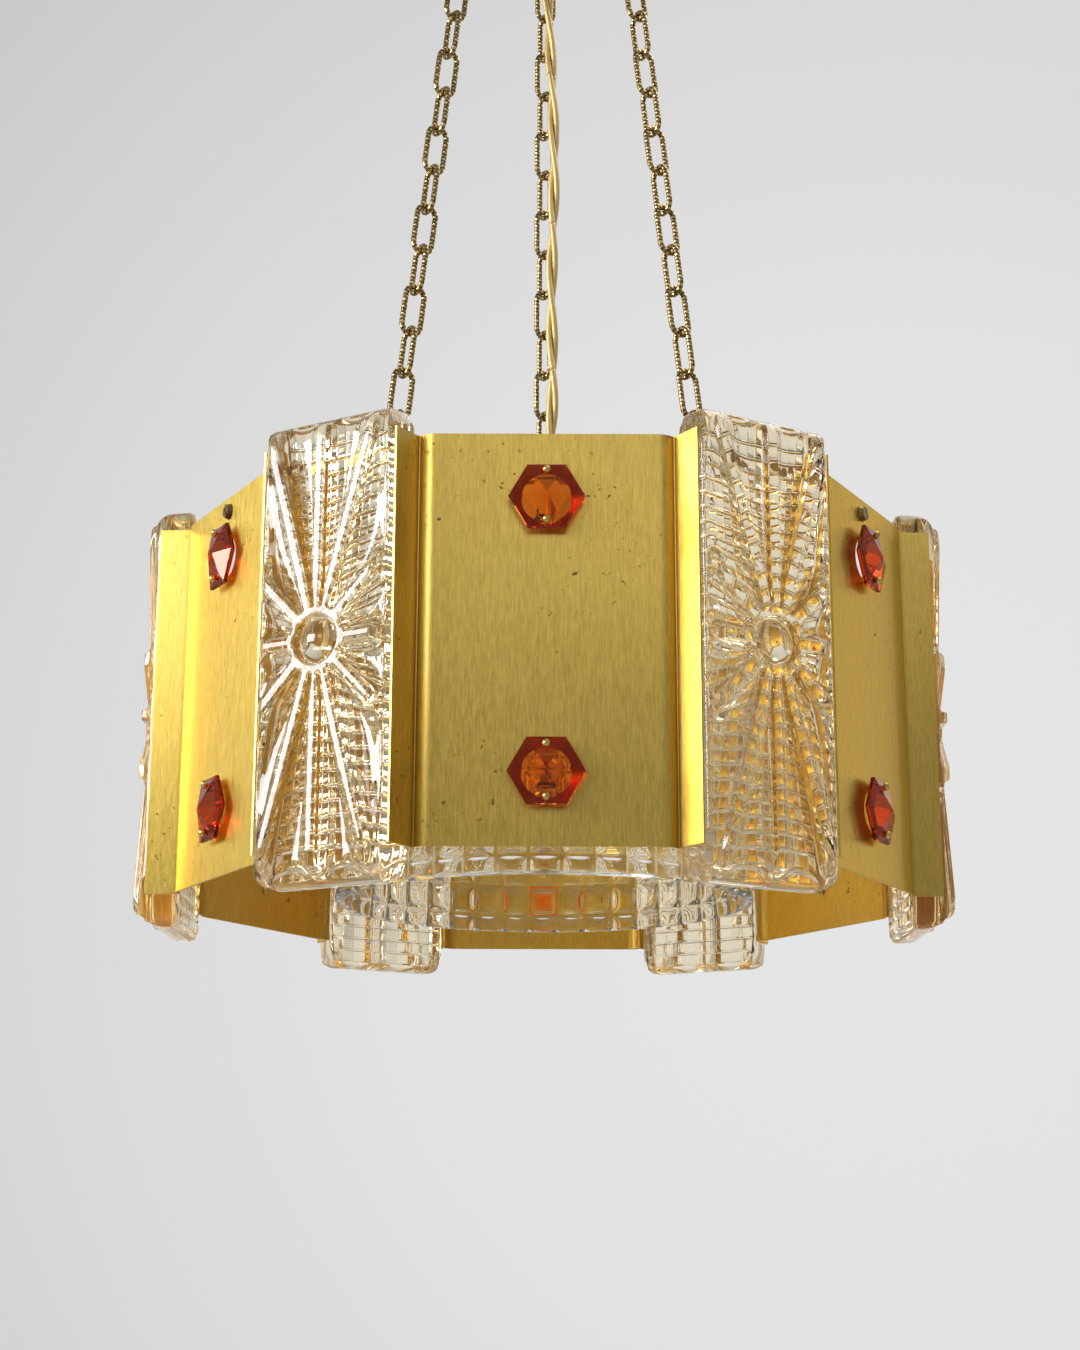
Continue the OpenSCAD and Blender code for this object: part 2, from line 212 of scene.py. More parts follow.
def sweep(path, ring_of, closed):
    """Points and faces of a tube: ring_of(i) gives the ring's (side, up) offsets at path[i]."""
    path = np.asarray(path, float)
    count = len(path)
    if closed:
        tangent = np.roll(path, -1, 0) - np.roll(path, 1, 0)
    else:
        tangent = np.gradient(path, axis=0)
    tangent /= np.linalg.norm(tangent, axis=1)[:, None]
    side = np.cross(tangent[0], [0.0, 1.0, 0.0])
    if np.linalg.norm(side) < 0.1:
        side = np.cross(tangent[0], [1.0, 0.0, 0.0])
    points = []
    for i in range(count):
        side = side - tangent[i] * (side @ tangent[i])
        side /= np.linalg.norm(side)
        up = np.cross(tangent[i], side)
        points += [path[i] + side * a + up * b for a, b in ring_of(i)]
    columns = len(ring_of(0))
    faces = grid_faces(count, columns)
    if closed:
        last = (count - 1) * columns
        for k in range(columns):
            n = (k + 1) % columns
            faces.append((last + k, last + n, n, k))
    else:
        faces += caps(0, (count - 1) * columns, columns)
    return points, faces


def recalculate(mesh):
    edit = bmesh.new()
    edit.from_mesh(mesh)
    bmesh.ops.recalc_face_normals(edit, faces=edit.faces)
    edit.to_mesh(mesh)
    edit.free()


# Materials

class Shader:
    """A node material built a node at a time."""

    def __init__(self, name):
        self.material = bpy.data.materials.new(name)
        self.material.use_nodes = True
        self.nodes = self.material.node_tree.nodes
        self.links = self.material.node_tree.links
        self.principled = self.nodes["Principled BSDF"]
        self.output = self.nodes["Material Output"]
        self.coords = self.nodes.new("ShaderNodeTexCoord").outputs["Object"]

    def set(self, **values):
        for key, value in values.items():
            socket = self.principled.inputs[key.replace("_", " ")]
            if isinstance(value, bpy.types.NodeSocket):
                self.links.new(value, socket)
            elif isinstance(value, tuple):
                socket.default_value = (*value, 1)
            else:
                socket.default_value = value

    def node(self, kind, inputs=None, **settings):
        made = self.nodes.new(kind)
        for key, value in settings.items():
            setattr(made, key, value)
        for key, value in (inputs or {}).items():
            if isinstance(value, bpy.types.NodeSocket):
                self.links.new(value, made.inputs[key])
            else:
                made.inputs[key].default_value = value
        return made

    def scaled(self, x, y, z):
        return self.node("ShaderNodeMapping", {"Vector": self.coords, "Scale": (x, y, z)}).outputs[0]

    def noise(self, scale, detail, vector=None, roughness=0.55):
        inputs = {"Vector": vector or self.coords, "Scale": scale, "Detail": detail, "Roughness": roughness}
        return self.node("ShaderNodeTexNoise", inputs).outputs["Fac"]

    def ramp(self, value, *stops):
        made = self.node("ShaderNodeValToRGB", {"Fac": value})
        elements = made.color_ramp.elements
        while len(elements) < len(stops):
            elements.new(0.5)
        for element, (position, colour) in zip(elements, stops):
            element.position = position
            element.color = (*colour, 1) if isinstance(colour, tuple) else (colour, colour, colour, 1)
        return made.outputs["Color"]

    def mix(self, factor, a, b):
        made = self.node("ShaderNodeMix", data_type="RGBA")
        for socket, value in zip((made.inputs[0], made.inputs[6], made.inputs[7]), (factor, a, b)):
            if isinstance(value, bpy.types.NodeSocket):
                self.links.new(value, socket)
            else:
                socket.default_value = (*value, 1) if isinstance(value, tuple) else value
        return made.outputs[2]

    def math(self, kind, a, b):
        return self.node("ShaderNodeMath", {0: a, 1: b}, operation=kind).outputs[0]

    def bump(self, height, strength, distance):
        inputs = {"Height": height, "Strength": strength, "Distance": distance}
        return self.node("ShaderNodeBump", inputs).outputs[0]

    def clear_shadow(self, share, colour=(1, 1, 1)):
        """Lets light through to what stands behind the glass."""
        path = self.node("ShaderNodeLightPath").outputs["Is Shadow Ray"]
        clear = self.node("ShaderNodeBsdfTransparent", {"Color": (*colour, 1)})
        factor = self.math("MULTIPLY", path, share)
        inputs = {0: factor, 1: self.principled.outputs[0], 2: clear.outputs[0]}
        mixed = self.node("ShaderNodeMixShader", inputs)
        self.links.new(mixed.outputs[0], self.output.inputs["Surface"])

    def absorb(self, colour, density):
        """Takes more of the light the further it goes through the glass."""
        volume = self.node("ShaderNodeVolumeAbsorption", {"Color": (*colour, 1), "Density": density})
        self.links.new(volume.outputs[0], self.output.inputs["Volume"])


def panel_brass():
    """Lacquered brass sheet brushed upright, with painted shade darkening its bends, and dark specks of
    tarnish.
    """
    s = Shader("brushed_brass")
    fine = s.noise(1.0, 3, s.scaled(1500, 1500, 150), 0.7)
    wide = s.noise(1.0, 2, s.scaled(420, 420, 14))
    grain = s.mix(0.15, fine, wide)
    tone = s.ramp(grain, (0.32, (0.60, 0.405, 0.080)), (0.68, (0.87, 0.61, 0.130)))
    tone = s.mix(s.ramp(s.noise(11, 4), (0.35, 0.0), (0.75, 0.4)), tone, (0.62, 0.43, 0.11))
    specks = s.ramp(s.noise(300, 2), (0.66, 0.0), (0.71, 1.0))
    patch = s.ramp(s.noise(20, 2), (0.55, 0.0), (0.63, 1.0))
    tone = s.mix(s.math("MULTIPLY", s.math("MULTIPLY", specks, patch), 0.85), tone, (0.10, 0.05, 0.012))
    # Painted shade: the sheet is darkened towards the floors of its bends and channels, where the flanges
    # shade it.
    out = s.node("ShaderNodeSeparateXYZ", {0: s.coords}).outputs["X"]
    depth = {0: out, 1: (PANEL_A - 0.8) * MM, 2: (PANEL_A - 2.8) * MM}
    fold = s.node("ShaderNodeMapRange", depth).outputs[0]
    tone = s.mix(s.math("MULTIPLY", fold, 0.6), tone, (0.36, 0.19, 0.035))
    rough = s.ramp(grain, (0.2, 0.26), (0.8, 0.37))
    tangent = s.node("ShaderNodeTangent", direction_type="RADIAL", axis="Z").outputs[0]
    s.set(Base_Color=tone, Metallic=1.0, Roughness=rough, Anisotropic=0.6, Tangent=tangent)
    s.set(Specular_Tint=(1.0, 0.82, 0.45))
    s.set(Normal=s.bump(grain, 0.35, 0.00012), Coat_Weight=0.25, Coat_Roughness=0.1)
    return s.material


def plain_brass(name="lacquered_brass", tone=(0.66, 0.47, 0.16), dark=(0.40, 0.26, 0.08), rough=0.26):
    """Turned and pressed brass, dulled unevenly."""
    s = Shader(name)
    cloud = s.noise(45, 5)
    fine = s.noise(700, 2)
    colour = s.ramp(cloud, (0.35, dark), (0.6, tone))
    s.set(Base_Color=colour, Metallic=1.0, Normal=s.bump(fine, 0.08, 0.0002))
    s.set(Roughness=s.ramp(fine, (0.3, rough), (0.8, rough + 0.16)))
    return s.material


def antique_brass():
    """Dark patinated brass, rubbed bright on the cut facets: wear is held on the mesh."""
    s = Shader("antique_brass")
    wear = s.node("ShaderNodeAttribute", attribute_name="wear").outputs["Fac"]
    cloud = s.noise(160, 4)
    mask = s.math("MULTIPLY", wear, s.ramp(cloud, (0.3, 0.55), (0.6, 1.0)))
    colour = s.mix(mask, (0.10, 0.045, 0.009), (1.0, 0.78, 0.36))
    s.set(Base_Color=colour, Metallic=1.0, Normal=s.bump(s.noise(900, 3), 0.15, 0.0002))
    s.set(Roughness=s.ramp(mask, (0.0, 0.36), (1.0, 0.14)))
    return s.material


def slab_glass():
    """Champagne glass, with the faint waves that a mould leaves."""
    s = Shader("champagne_glass")
    wave = s.noise(1.0, 3, s.scaled(120, 120, 60))
    s.set(Base_Color=s.mix(wave, (1.0, 0.935, 0.80), (1.0, 0.92, 0.76)))
    s.set(Roughness=0.015, IOR=1.52, Transmission_Weight=1.0, Normal=s.bump(wave, 0.12, 0.0006))
    s.clear_shadow(0.85, (1.0, 0.95, 0.86))
    s.absorb((0.97, 0.75, 0.2), 9)
    return s.material


def shade_glass():
    s = Shader("clear_pressed_glass")
    ripple = s.noise(60, 3)
    s.set(Base_Color=(0.99, 0.985, 0.955), Roughness=0.01, IOR=1.5, Transmission_Weight=1.0)
    s.set(Normal=s.bump(ripple, 0.06, 0.001))
    s.clear_shadow(0.85, (0.97, 0.98, 0.96))
    return s.material


def amber_glass():
    s = Shader("amber_crystal")
    depth = s.noise(90, 2)
    s.set(Base_Color=s.mix(depth, (0.84, 0.27, 0.05), (0.72, 0.20, 0.03)))
    s.set(Roughness=0.01, IOR=1.58, Transmission_Weight=1.0, Specular_Tint=(1.0, 0.62, 0.40))
    s.clear_shadow(0.15, (1.0, 0.42, 0.05))
    s.absorb((0.955, 0.80, 0.0), 400)
    return s.material


def thin_glass():
    s = Shader("bulb_glass")
    s.set(Base_Color=(0.985, 0.98, 0.97), Roughness=0.01, IOR=1.45, Transmission_Weight=1.0)
    s.set(Normal=s.bump(s.noise(40, 2), 0.02, 0.001))
    s.clear_shadow(0.9)
    return s.material


def silk():
    """Gold braid: fine crossed threads over each core."""
    s = Shader("gold_silk")
    threads = s.node("ShaderNodeAttribute", attribute_name="braid").outputs["Vector"]
    flip = s.node("ShaderNodeMapping", {"Vector": threads, "Scale": (-1, 1, 1)}).outputs[0]

    def wave(vector):
        inputs = {"Vector": vector, "Scale": 1.0}
        return s.node("ShaderNodeTexWave", inputs, bands_direction="DIAGONAL").outputs["Fac"]

    weave = s.math("MAXIMUM", wave(threads), wave(flip))
    tone = s.ramp(weave, (0.15, (0.50, 0.33, 0.11)), (0.7, (0.88, 0.63, 0.25)))
    s.set(Base_Color=tone, Roughness=0.28, Sheen_Weight=0.25, Sheen_Roughness=0.35, Metallic=0.5)
    s.set(Specular_IOR_Level=0.8, Normal=s.bump(weave, 0.4, 0.0002))
    return s.material


def porcelain():
    s = Shader("white_porcelain")
    cloud = s.noise(20, 3)
    s.set(Base_Color=s.mix(cloud, (0.86, 0.84, 0.78), (0.80, 0.77, 0.70)), Roughness=0.18)
    s.set(Coat_Weight=0.5, Normal=s.bump(s.noise(120, 2), 0.05, 0.0003))
    return s.material


def zinc():
    s = Shader("zinc_plate")
    brush = s.noise(40, 3, s.scaled(2, 60, 60))
    s.set(Base_Color=s.ramp(brush, (0.3, 0.42), (0.7, 0.62)), Metallic=1.0, Anisotropic=0.3)
    s.set(Roughness=s.ramp(brush, (0.3, 0.25), (0.8, 0.4)), Normal=s.bump(brush, 0.1, 0.0002))
    return s.material


BRUSHED = panel_brass()
BRASS = plain_brass()
DARK_BRASS = plain_brass("dark_brass", (0.34, 0.23, 0.09), (0.15, 0.09, 0.035), 0.34)
ANTIQUE = antique_brass()
SLAB_GLASS = slab_glass()
SHADE_GLASS = shade_glass()
AMBER = amber_glass()
THIN_GLASS = thin_glass()
SILK = silk()
PORCELAIN = porcelain()
ZINC = zinc()


# Flex: two silk-covered cores twisted together, from the canopy's gland to the drum's grip.
# CORD_STEPS gives how far below the gland a point is, and its place off the axis.
# CORD_JOINTS gives the body above a joint, the body below it, and where the bending starts and ends.

CORD_TOP = low("canopy_hooks", 2) + 3
CORD_LOW = high("chain_eyes", 2) - 3
CORD_IN = 3
CORD_STEPS = [
    (0, 0, 0), (14, 0.2, 0), (40, 1, -0.2), (75, 2.6, -0.6), (110, 4, -0.8), (145, 4.4, -0.4),
    (180, 3.6, 0.6), (215, 3.2, 1.4), (245, 3.8, 1.4), (270, 3.6, 0.8), (295, 2, 0.2), (316, 0.6, 0),
]
CORE_R = 1.55
CORE_SIDES = 14
TWIST = 78
THREADS_ROUND = 6
THREAD_RUN = 3.2 / 3
CORD_JOINTS = [
    ("canopy", "top_link_rear", 5, 80), ("top_link_rear", "chain_rear", 90, 165),
    ("chain_rear", "bottom_link_rear", 175, 245), ("bottom_link_rear", "drum", 255, 320),
]


def spline(points, steps):
    """A smooth path through the points."""
    p = np.asarray(points, float)
    p = np.vstack([p[0], p, p[-1]])
    path = []
    for i in range(1, len(p) - 2):
        for t in np.arange(steps) / steps:
            a, b, c, d = p[i - 1], p[i], p[i + 1], p[i + 2]
            path.append(0.5 * (2 * b + (c - a) * t + (2 * a - 5 * b + 4 * c - d) * t ** 2
                               + (3 * b - a - 3 * c + d) * t ** 3))
    return np.array(path + [p[-2]])


def run_along(path):
    """Distance along the path at each of its points."""
    return np.concatenate([[0], np.cumsum(np.linalg.norm(np.diff(path, axis=0), axis=1))])


def cord_route():
    """The flex's middle line, with a point at every millimetre."""
    points = [(0, 0, CORD_TOP + CORD_IN)]
    points += [(x, y, CORD_TOP - drop) for drop, x, y in CORD_STEPS]
    points += [(0, 0, CORD_LOW), (0, 0, CORD_LOW - CORD_IN)]
    path = spline(points, 12)
    run = run_along(path)
    even = np.append(np.arange(0, run[-1], 1.0), run[-1])
    return np.stack([np.interp(even, run, path[:, k]) for k in range(3)], axis=1)


def core(path, phase):
    """Points of one silk-covered core, wound round the route, and where its threads lie."""
    run = run_along(path)
    angle = run * 2 * math.pi / TWIST + phase
    centre = path + CORE_R * np.stack([np.cos(angle), np.sin(angle), np.zeros(len(path))], axis=1)
    ring = circle(CORE_SIDES, CORE_R)
    points, _ = sweep(centre, lambda i: ring, False)
    braid = [(k / CORE_SIDES * THREADS_ROUND, r / THREAD_RUN, 0) for r in run for k in range(CORE_SIDES)]
    return points, braid


def stretch_mesh(cores, first, last):
    """Points, faces and threads of both cores, between two points of the route."""
    part = slice(first * CORE_SIDES, (last + 1) * CORE_SIDES)
    points, faces, braid = [], [], []
    for core_points, core_braid in cores:
        offset = len(points)
        points += core_points[part]
        braid += core_braid[part]
        faces += grid_faces(last + 1 - first, CORE_SIDES, True, offset)
        faces += caps(offset, len(points) - CORE_SIDES, CORE_SIDES)
    return points, faces, braid


def make_cord():
    """The flex in four stretches, each reaching across one joint."""
    route = cord_route()
    drops = CORD_TOP - route[:, 2]
    breaks = [(above[3] + below[2]) / 2 for above, below in zip(CORD_JOINTS, CORD_JOINTS[1:])]
    cuts = [0, *[int(np.argmin(np.abs(drops - drop))) for drop in breaks], len(route) - 1]
    cores = [core(route, 0), core(route, math.pi)]
    for number, (upper, lower, start, end) in enumerate(CORD_JOINTS):
        first, last = cuts[number], cuts[number + 1]
        points, faces, braid = stretch_mesh(cores, first, last)
        piece = add_mesh(f"flex_{number + 1}", points, faces, SILK)
        layer = piece.data.attributes.new("braid", "FLOAT_VECTOR", "POINT")
        layer.data.foreach_set("vector", np.array(braid, np.float32).ravel())
        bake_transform(piece)
        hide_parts("lamp_cord")


make_cord()


# Brass panels: a flat brushed face that bends back at each side, and a flange that hugs the slab.

SHEET = 1.0
BEND_AT = 46.5
BEND_R = 8.6
BEND_TURN = 48
FOLD_R = 0.6
FLANGE_TURN = 56
FLANGE_U = 62.2
FLANGE_V = 9.7
LIGHT_HOLE_R = 9.0
PIN_OFFSET = 10.8
PIN_HOLE_R = 0.8
SCREW_HOLE_R = 2.2
SCREW_Z = PANEL_TOP - 7
DRILL_REACH = 5


def half_outline():
    """Half of a panel's face in plan, as (along, out), from its flat to the flange's tip."""
    bend = arc(BEND_AT, -BEND_R, BEND_R, 90, 90 - BEND_TURN, 16)
    turned = math.radians(BEND_TURN)
    u, v = bend[-1][0] + FOLD_R * math.sin(turned), bend[-1][1] + FOLD_R * math.cos(turned)
    fold = arc(u, v, FOLD_R, -90 - BEND_TURN, FLANGE_TURN - 90, 8)
    return np.array(bend + fold[1:] + [(FLANGE_U, FLANGE_V)])


def beside(path, distance):
    """The path moved to its right by a distance, with mitred corners."""
    step_by = np.diff(path, axis=0)
    step_by /= np.linalg.norm(step_by, axis=1)[:, None]
    right = np.stack([step_by[:, 1], -step_by[:, 0]], axis=1)
    before = np.vstack([right[:1], right])
    after = np.vstack([right, right[-1:]])
    mitre = before + after
    mitre /= np.linalg.norm(mitre, axis=1)[:, None]
    return path + mitre * (distance / (mitre * before).sum(axis=1))[:, None]


def keep_result(piece):
    """Makes what the piece's modifiers give its own mesh."""
    bpy.context.view_layer.update()
    made = bpy.data.meshes.new_from_object(piece.evaluated_get(bpy.context.evaluated_depsgraph_get()))
    piece.modifiers.clear()
    piece.data = made


def finished(piece, cutter=None, bevel=0.15):
    """Cuts the piece with another, rounds its edges a little and keeps the result as its mesh."""
    if cutter is not None:
        cut = piece.modifiers.new("cut", "BOOLEAN")
        cut.object = cutter
        cut.solver = "EXACT"
    if bevel:
        edge = piece.modifiers.new("edge", "BEVEL")
        edge.width = bevel * MM
        edge.segments = 2
        edge.limit_method = "ANGLE"
        edge.angle_limit = math.radians(50)
    keep_result(piece)
    if cutter is not None:
        bpy.data.objects.remove(cutter)
    piece.data.shade_smooth()
    piece.data.set_sharp_from_angle(angle=math.radians(35))
    flat = piece.modifiers.new("flat", "WEIGHTED_NORMAL")
    flat.keep_sharp = True
    flat.weight = 100
    keep_result(piece)
    return piece


def drill(places):
    """One mesh of rods along X, each (z, radius), to cut a panel's holes."""
    points, faces = [], []
    sides = 40
    for z, r in places:
        base = len(points)
        for x in (-DRILL_REACH, DRILL_REACH):
            points += [(PANEL_A + x, y, z + up) for y, up in circle(sides, r)]
        faces += grid_faces(2, sides, True, base) + caps(base, base + sides, sides)
    piece = add_mesh("drill", points, faces, BRUSHED, None, False)
    recalculate(piece.data)
    return piece


def crystal_centre(side, level):
    node = f"crystal_{side}_{level}"
    return (low(node, 2) + high(node, 2)) / 2


def make_panels():
    right = half_outline()
    face = np.vstack([right[::-1] * (-1, 1), right])
    outline = np.vstack([face, beside(face, SHEET)[::-1]]) + (0, PANEL_A)
    count = len(outline)
    for number, side in enumerate(SIDES):
        points = [(v, u, z) for z in (PANEL_LOW, PANEL_TOP) for u, v in outline]
        faces = grid_faces(2, count) + caps(0, count, count)
        piece = add_mesh(f"brass_{side}", points, faces, BRUSHED, None, False)
        recalculate(piece.data)
        holes = []
        for level in ("low", "high"):
            z = crystal_centre(side, level)
            holes.append((z, LIGHT_HOLE_R))
            holes += [(z - PIN_OFFSET, PIN_HOLE_R), (z + PIN_OFFSET, PIN_HOLE_R)]
        if number % 2:
            holes.append((SCREW_Z, SCREW_HOLE_R))
        finished(piece, drill(holes))
        piece.matrix_world = turn(number * 60)
        place(piece, "drum", "panel_brass", f"panel_{side}")


make_panels()


# Pressed glass slabs: a star of raised rays round a domed boss, over a grid of low pads behind.
# A slab's points are given as (across, up, out) from its middle.

SLAB_DRAFT = 1.5
SLAB_CORNER = 8.0
SLAB_MIDDLE = (SLAB_LOW + SLAB_TOP) / 2
SLAB_HALF_Z = (SLAB_TOP - SLAB_LOW) / 2
FRONT_HALF = SLAB_HALF - SLAB_DRAFT
FRONT_ROUND = 6.0
END_ROUND = 12.0
BACK_ROUND = 2.6
DOME_RISE = 1.6
DOME_R = 9.5
DOME_BALL = 11.6
HUB_IN = 11.0
HUB_OUT = 14.2
RAY_HEIGHT = 2.8
RAYS = [0, 45, 74, 90, 106, 135, 180, 225, 254, 270, 286, 315]
RAY_SECTION = [(0.0, 1.0), (2.1, 1.0), (2.35, 0.94), (2.6, 0.68), (2.85, 0.2), (3.15, 0.0)]
PETAL_STEPS = 9
PETAL_SLOPE = 0.36
PETAL_DEEP = 4.4
PETAL_END = 15.0
PAD = 6.45
PAD_GROOVE = 0.95
UPRIGHT_SHARE = 0.2
PAD_DOME = 0.08
GROOVE_FALL = [(0.33, 0), (0.37, 0.16), (0.41, 0.5), (0.455, 0.86)]
GROOVE = {-0.5: 1, **{-u: deep for u, deep in GROOVE_FALL[::-1]}, 0: 0, **dict(GROOVE_FALL)}


def inside(x, z, half_x, half_z, corner):
    """Distance from the outline of a rounded rectangle, positive inside it."""
    qx = np.abs(x) - (half_x - corner)
    qz = np.abs(z) - (half_z - corner)
    outer = np.hypot(np.maximum(qx, 0), np.maximum(qz, 0))
    return corner - (outer + np.minimum(np.maximum(qx, qz), 0))


def reach(angle, inset, half_x=FRONT_HALF):
    """How far the slab's outline, moved in by an inset, reaches in each direction."""
    half = (half_x - inset, SLAB_HALF_Z - inset, max(SLAB_CORNER - inset, 2))
    near, far = np.zeros_like(angle), np.full_like(angle, SLAB_HALF + SLAB_HALF_Z)
    for _ in range(40):
        middle = (near + far) / 2
        within = inside(middle * np.cos(angle), middle * np.sin(angle), *half) > 0
        near, far = np.where(within, middle, near), np.where(within, far, middle)
    return near


def step(value, a, b):
    """A smooth step from 0 at a to 1 at b."""
    t = np.clip((value - a) / (b - a), 0, 1)
    return t * t * (3 - 2 * t)


def make_spokes():
    """For each spoke: the rays beside it, its offsets from them, its share across the petal, its level."""
    outer = RAY_SECTION[-1][0]
    rows = []
    for ray, following in zip(RAYS, RAYS[1:] + [360]):
        rows += [(ray, following, offset, outer, 0, level) for offset, level in RAY_SECTION]
        shares = np.arange(1, PETAL_STEPS + 1) / (PETAL_STEPS + 1)
        rows += [(ray, following, outer, outer, share, 0) for share in shares]
        rows += [(ray, following, outer, offset, 1, level) for offset, level in RAY_SECTION[:0:-1]]
    return np.array(rows).T


RAY_A, RAY_B, OFF_A, OFF_B, SHARE, LEVEL = make_spokes()
RAY_A, RAY_B = np.radians(RAY_A), np.radians(RAY_B)


def spoke_angles(radius):
    """Angles at which the spokes cross a loop: beside a ray they run parallel to it."""
    most = (RAY_B - RAY_A) / 2 / (RAY_SECTION[-1][0] + 0.6)
    angle = RAY_A + (RAY_B - RAY_A) * SHARE
    for _ in range(4):
        r = radius(angle)
        a = RAY_A + np.minimum(np.arcsin(np.clip(OFF_A / r, 0, 1)), most * OFF_A)
        b = RAY_B - np.minimum(np.arcsin(np.clip(OFF_B / r, 0, 1)), most * OFF_B)
        angle = a + (b - a) * SHARE
    return angle


def rounded(edge, radius):
    """How far a rounded edge has dropped at a distance from it."""
    return radius - np.sqrt(radius ** 2 - np.clip(radius - edge, 0, radius) ** 2)


def star_face(r, x, z):
    """The face's height: hub and rays stand up, and each petal between two rays is hollowed."""
    edge = inside(x, z, FRONT_HALF, SLAB_HALF_Z, SLAB_CORNER)
    tip = step(edge, 4.0 + 1.6 * (1 - LEVEL), 6.4)
    level = np.maximum(LEVEL * tip, 1 - step(r, HUB_OUT - 0.3, HUB_OUT + 1.2))
    width = np.maximum((RAY_B - RAY_A) * r - 2 * RAY_SECTION[-1][0], 0)
    end = np.sqrt(np.clip(1 - (np.clip(PETAL_END - edge, 0, None) / (PETAL_END - 2)) ** 2, 0, 1))
    bowl = 1 - (2 * SHARE - 1) ** 2
    hollow = np.minimum(PETAL_SLOPE * width, PETAL_DEEP) * bowl * end * (OFF_A == OFF_B)
    rounding = np.maximum(rounded(edge, FRONT_ROUND), rounded(SLAB_HALF_Z - np.abs(z), END_ROUND))
    return SLAB_BOSS - DOME_RISE - RAY_HEIGHT * (1 - level) - hollow - rounding


def star_loops():
    """Loops of points over the face, from the boss out to the outline."""
    loops = []
    radii = (1.5, 3, 4.5, 6, 7.2, 8.2, 9, DOME_R)
    rings = [(r, DOME_BALL - math.sqrt(DOME_BALL ** 2 - r ** 2)) for r in radii]
    floor = rings[-1][1]
    rings += [(DOME_R + 0.3, floor + 0.1), (DOME_R + 0.6, floor - 0.2)]
    rings += [(HUB_IN - 0.6, floor * 0.6), (HUB_IN - 0.25, DOME_RISE + 0.5), (HUB_IN, DOME_RISE + 0.1)]
    rings += [(HUB_IN + 0.3, DOME_RISE), (HUB_OUT - 0.9, DOME_RISE)]
    for r, drop in rings:
        angle = spoke_angles(lambda a: np.full_like(a, r))
        out = np.full_like(angle, SLAB_BOSS - drop)
        loops.append((r * np.cos(angle), r * np.sin(angle), out))
    hub = HUB_OUT + 1.2
    radii = [lambda a, r=r: np.full_like(a, r) for r in (13.8, 14.2, 14.6, 15.0, hub)]
    radii += [lambda a, t=t: hub + (reach(a, 8) - hub) * t for t in np.linspace(0.02, 1, 44)]
    insets = (7.4, 6.8, 6.3, 5.8, 5.3, 4.8, 4.2, 3.5, 2.8, 2.1, 1.4, 0.8, 0.35, 0.1, 0.0)
    radii += [lambda a, inset=inset: reach(a, inset) for inset in insets]
    for radius in radii:
        angle = spoke_angles(radius)
        r = radius(angle)
        x, z = r * np.cos(angle), r * np.sin(angle)
        loops.append((x, z, star_face(r, x, z)))
    return loops, angle


def side_loops(angle, top):
    """Loops down the slab's drafted sides and round its back edge."""
    loops = []
    for share in (0.8, 0.6, 0.4, 0.2, 0):
        radius = reach(angle, 0, FRONT_HALF + SLAB_DRAFT * (1 - share))
        out = SLAB_BACK + BACK_ROUND + share * (top - SLAB_BACK - BACK_ROUND)
        loops.append((radius * np.cos(angle), radius * np.sin(angle), out))
    for turned in (45, 90):
        inset = BACK_ROUND * (1 - math.cos(math.radians(turned)))
        out = SLAB_BACK + BACK_ROUND * (1 - math.sin(math.radians(turned)))
        radius = reach(angle, inset, SLAB_HALF)
        loops.append((radius * np.cos(angle), radius * np.sin(angle), np.full_like(angle, out)))
    return loops


def pad_grid():
    """Points over the back, row by row: low domed pads with grooves between them."""
    across = int((2 * SLAB_HALF - 3) // PAD)
    tall = int((2 * SLAB_HALF_Z - 3) // PAD)

    def stops(count):
        middles = [i + 0.5 - count / 2 for i in range(count)]
        made = [((middle + u) * PAD, u, deep) for middle in middles for u, deep in GROOVE.items()]
        return made + [(count / 2 * PAD, 0.5, 1.0)]

    columns, rows = stops(across), stops(tall)
    corner = SLAB_CORNER - BACK_ROUND - 0.8
    centre = (SLAB_HALF - BACK_ROUND - 0.8 - corner, SLAB_HALF_Z - BACK_ROUND - 0.8 - corner)
    points = []
    for x, u, deep_u in columns:
        for z, w, deep_w in rows:
            out = SLAB_BACK + PAD_GROOVE * max(deep_u * UPRIGHT_SHARE, deep_w) + PAD_DOME * (u * u + w * w)
            qx, qz = abs(x) - centre[0], abs(z) - centre[1]
            if qx > 0 and qz > 0 and math.hypot(qx, qz) > corner:
                pull = corner / math.hypot(qx, qz)
                x_in, z_in = centre[0] + qx * pull, centre[1] + qz * pull
                points.append((math.copysign(x_in, x), math.copysign(z_in, z), out))
            else:
                points.append((x, z, out))
    return points, len(columns), len(rows)


def bridge(faces, outer, inner, points):
    """Joins two loops of different counts, going round both by their angle."""
    def from_low(loop):
        angle = [math.atan2(points[n][1], points[n][0]) % (2 * math.pi) for n in loop]
        k = int(np.argmin(angle))
        return loop[k:] + loop[:k], angle[k:] + angle[:k]

    (outer, oa), (inner, ia) = from_low(outer), from_low(inner)
    i = j = 0
    while i < len(outer) or j < len(inner):
        next_o = oa[i + 1] if i + 1 < len(outer) else oa[0] + 2 * math.pi
        next_i = ia[j + 1] if j + 1 < len(inner) else ia[0] + 2 * math.pi
        o, n = outer[i % len(outer)], inner[j % len(inner)]
        if j >= len(inner) or (i < len(outer) and next_o <= next_i):
            faces.append((o, outer[(i + 1) % len(outer)], n))
            i += 1
        else:
            faces.append((o, inner[(j + 1) % len(inner)], n))
            j += 1


